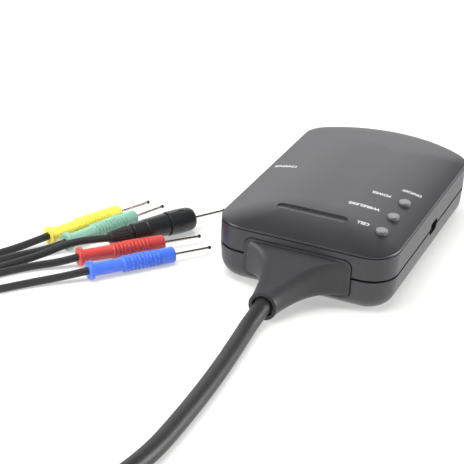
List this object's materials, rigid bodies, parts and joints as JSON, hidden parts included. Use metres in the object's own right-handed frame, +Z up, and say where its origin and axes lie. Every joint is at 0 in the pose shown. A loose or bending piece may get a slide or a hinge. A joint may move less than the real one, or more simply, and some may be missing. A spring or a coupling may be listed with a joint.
{
  "type": "potentiostat",
  "caption": "Pocket-size potentiostat in a two-shell moulded housing with indicator lenses, a side slide switch and a captive cell cable that divides into colour-coded leads with pin plugs.",
  "frame": {"origin": "on the table top under the middle of the housing", "axes": "+X across the housing towards the switch, +Y along it away from the cable, +Z up"},
  "size_m": [0.1447, 0.2488, 0.0211],
  "materials": {
    "housing_plastic": "fine textured moulded plastic",
    "boot_rubber": "satin moulded elastomer",
    "cable_jacket": "satin extruded jacket",
    "lead_jacket": "satin extruded jacket",
    "board_laminate": "solder mask over glass laminate",
    "foam_pad": "adhesive foam",
    "battery_foil": "laminated foil",
    "switch_metal": "tinned sheet",
    "switch_plastic": "moulded nylon",
    "light_chip": "cast epoxy",
    "shield_metal": "tinned sheet",
    "chip_epoxy": "moulded epoxy",
    "connector_nylon": "moulded nylon",
    "wire_jacket": "extruded insulation",
    "screw_steel": "plated steel",
    "tie_fabric": "woven hook and loop band",
    "lens_plastic": "translucent light pipe",
    "plug_black": "semi-gloss moulded plastic",
    "plug_blue": "semi-gloss moulded plastic",
    "plug_red": "semi-gloss moulded plastic",
    "plug_green": "semi-gloss moulded plastic",
    "plug_yellow": "semi-gloss moulded plastic",
    "contact_metal": "nickel plated",
    "tip_plastic": "dark rounded end"
  },
  "bodies": {
    "instrument": {"analog_shield": "shield_metal", "battery": "battery_foil", "battery_pad": "foam_pad", "black_barrel": "plug_black", "black_body": "plug_black", "black_cap": "plug_black", "black_lead": "lead_jacket", "black_pin": "contact_metal", "blue_lead": "lead_jacket", "blue_pin": "contact_metal", "blue_sleeve": "plug_blue", "cable_boot": "boot_rubber", "cable_core": "cable_jacket", "cable_tie": "tie_fabric", "cell_lens": "lens_plastic", "charge_socket": "switch_metal", "charge_tongue": "switch_plastic", "circuit_board": "board_laminate", "green_lead": "lead_jacket", "green_pin": "contact_metal", "green_sleeve": "plug_green", "housing_screws": "screw_steel", "inner_wires": "wire_jacket", "lead_splitter": "boot_rubber", "link_lens": "lens_plastic", "lower_shell": "housing_plastic", "main_cable": "cable_jacket", "main_cable_coil": "cable_jacket", "main_cable_tail": "cable_jacket", "pin_tips": "tip_plastic", "power_lens": "lens_plastic", "processor_chip": "chip_epoxy", "radio_module": "shield_metal", "red_lead": "lead_jacket", "red_pin": "contact_metal", "red_sleeve": "plug_red", "status_lights": "light_chip", "switch_body": "switch_metal", "upper_shell": "housing_plastic", "wire_header": "connector_nylon", "wire_plug": "connector_nylon", "yellow_lead": "lead_jacket", "yellow_pin": "contact_metal", "yellow_sleeve": "plug_yellow"},
    "lever": {"switch_lever": "switch_plastic"}
  },
  "joints": [
    {"name": "power_switch_slide", "type": "slide", "parent": "instrument", "child": "lever", "axis": [0, 1, 0], "range_m": [0, 0.0022]}
  ]
}
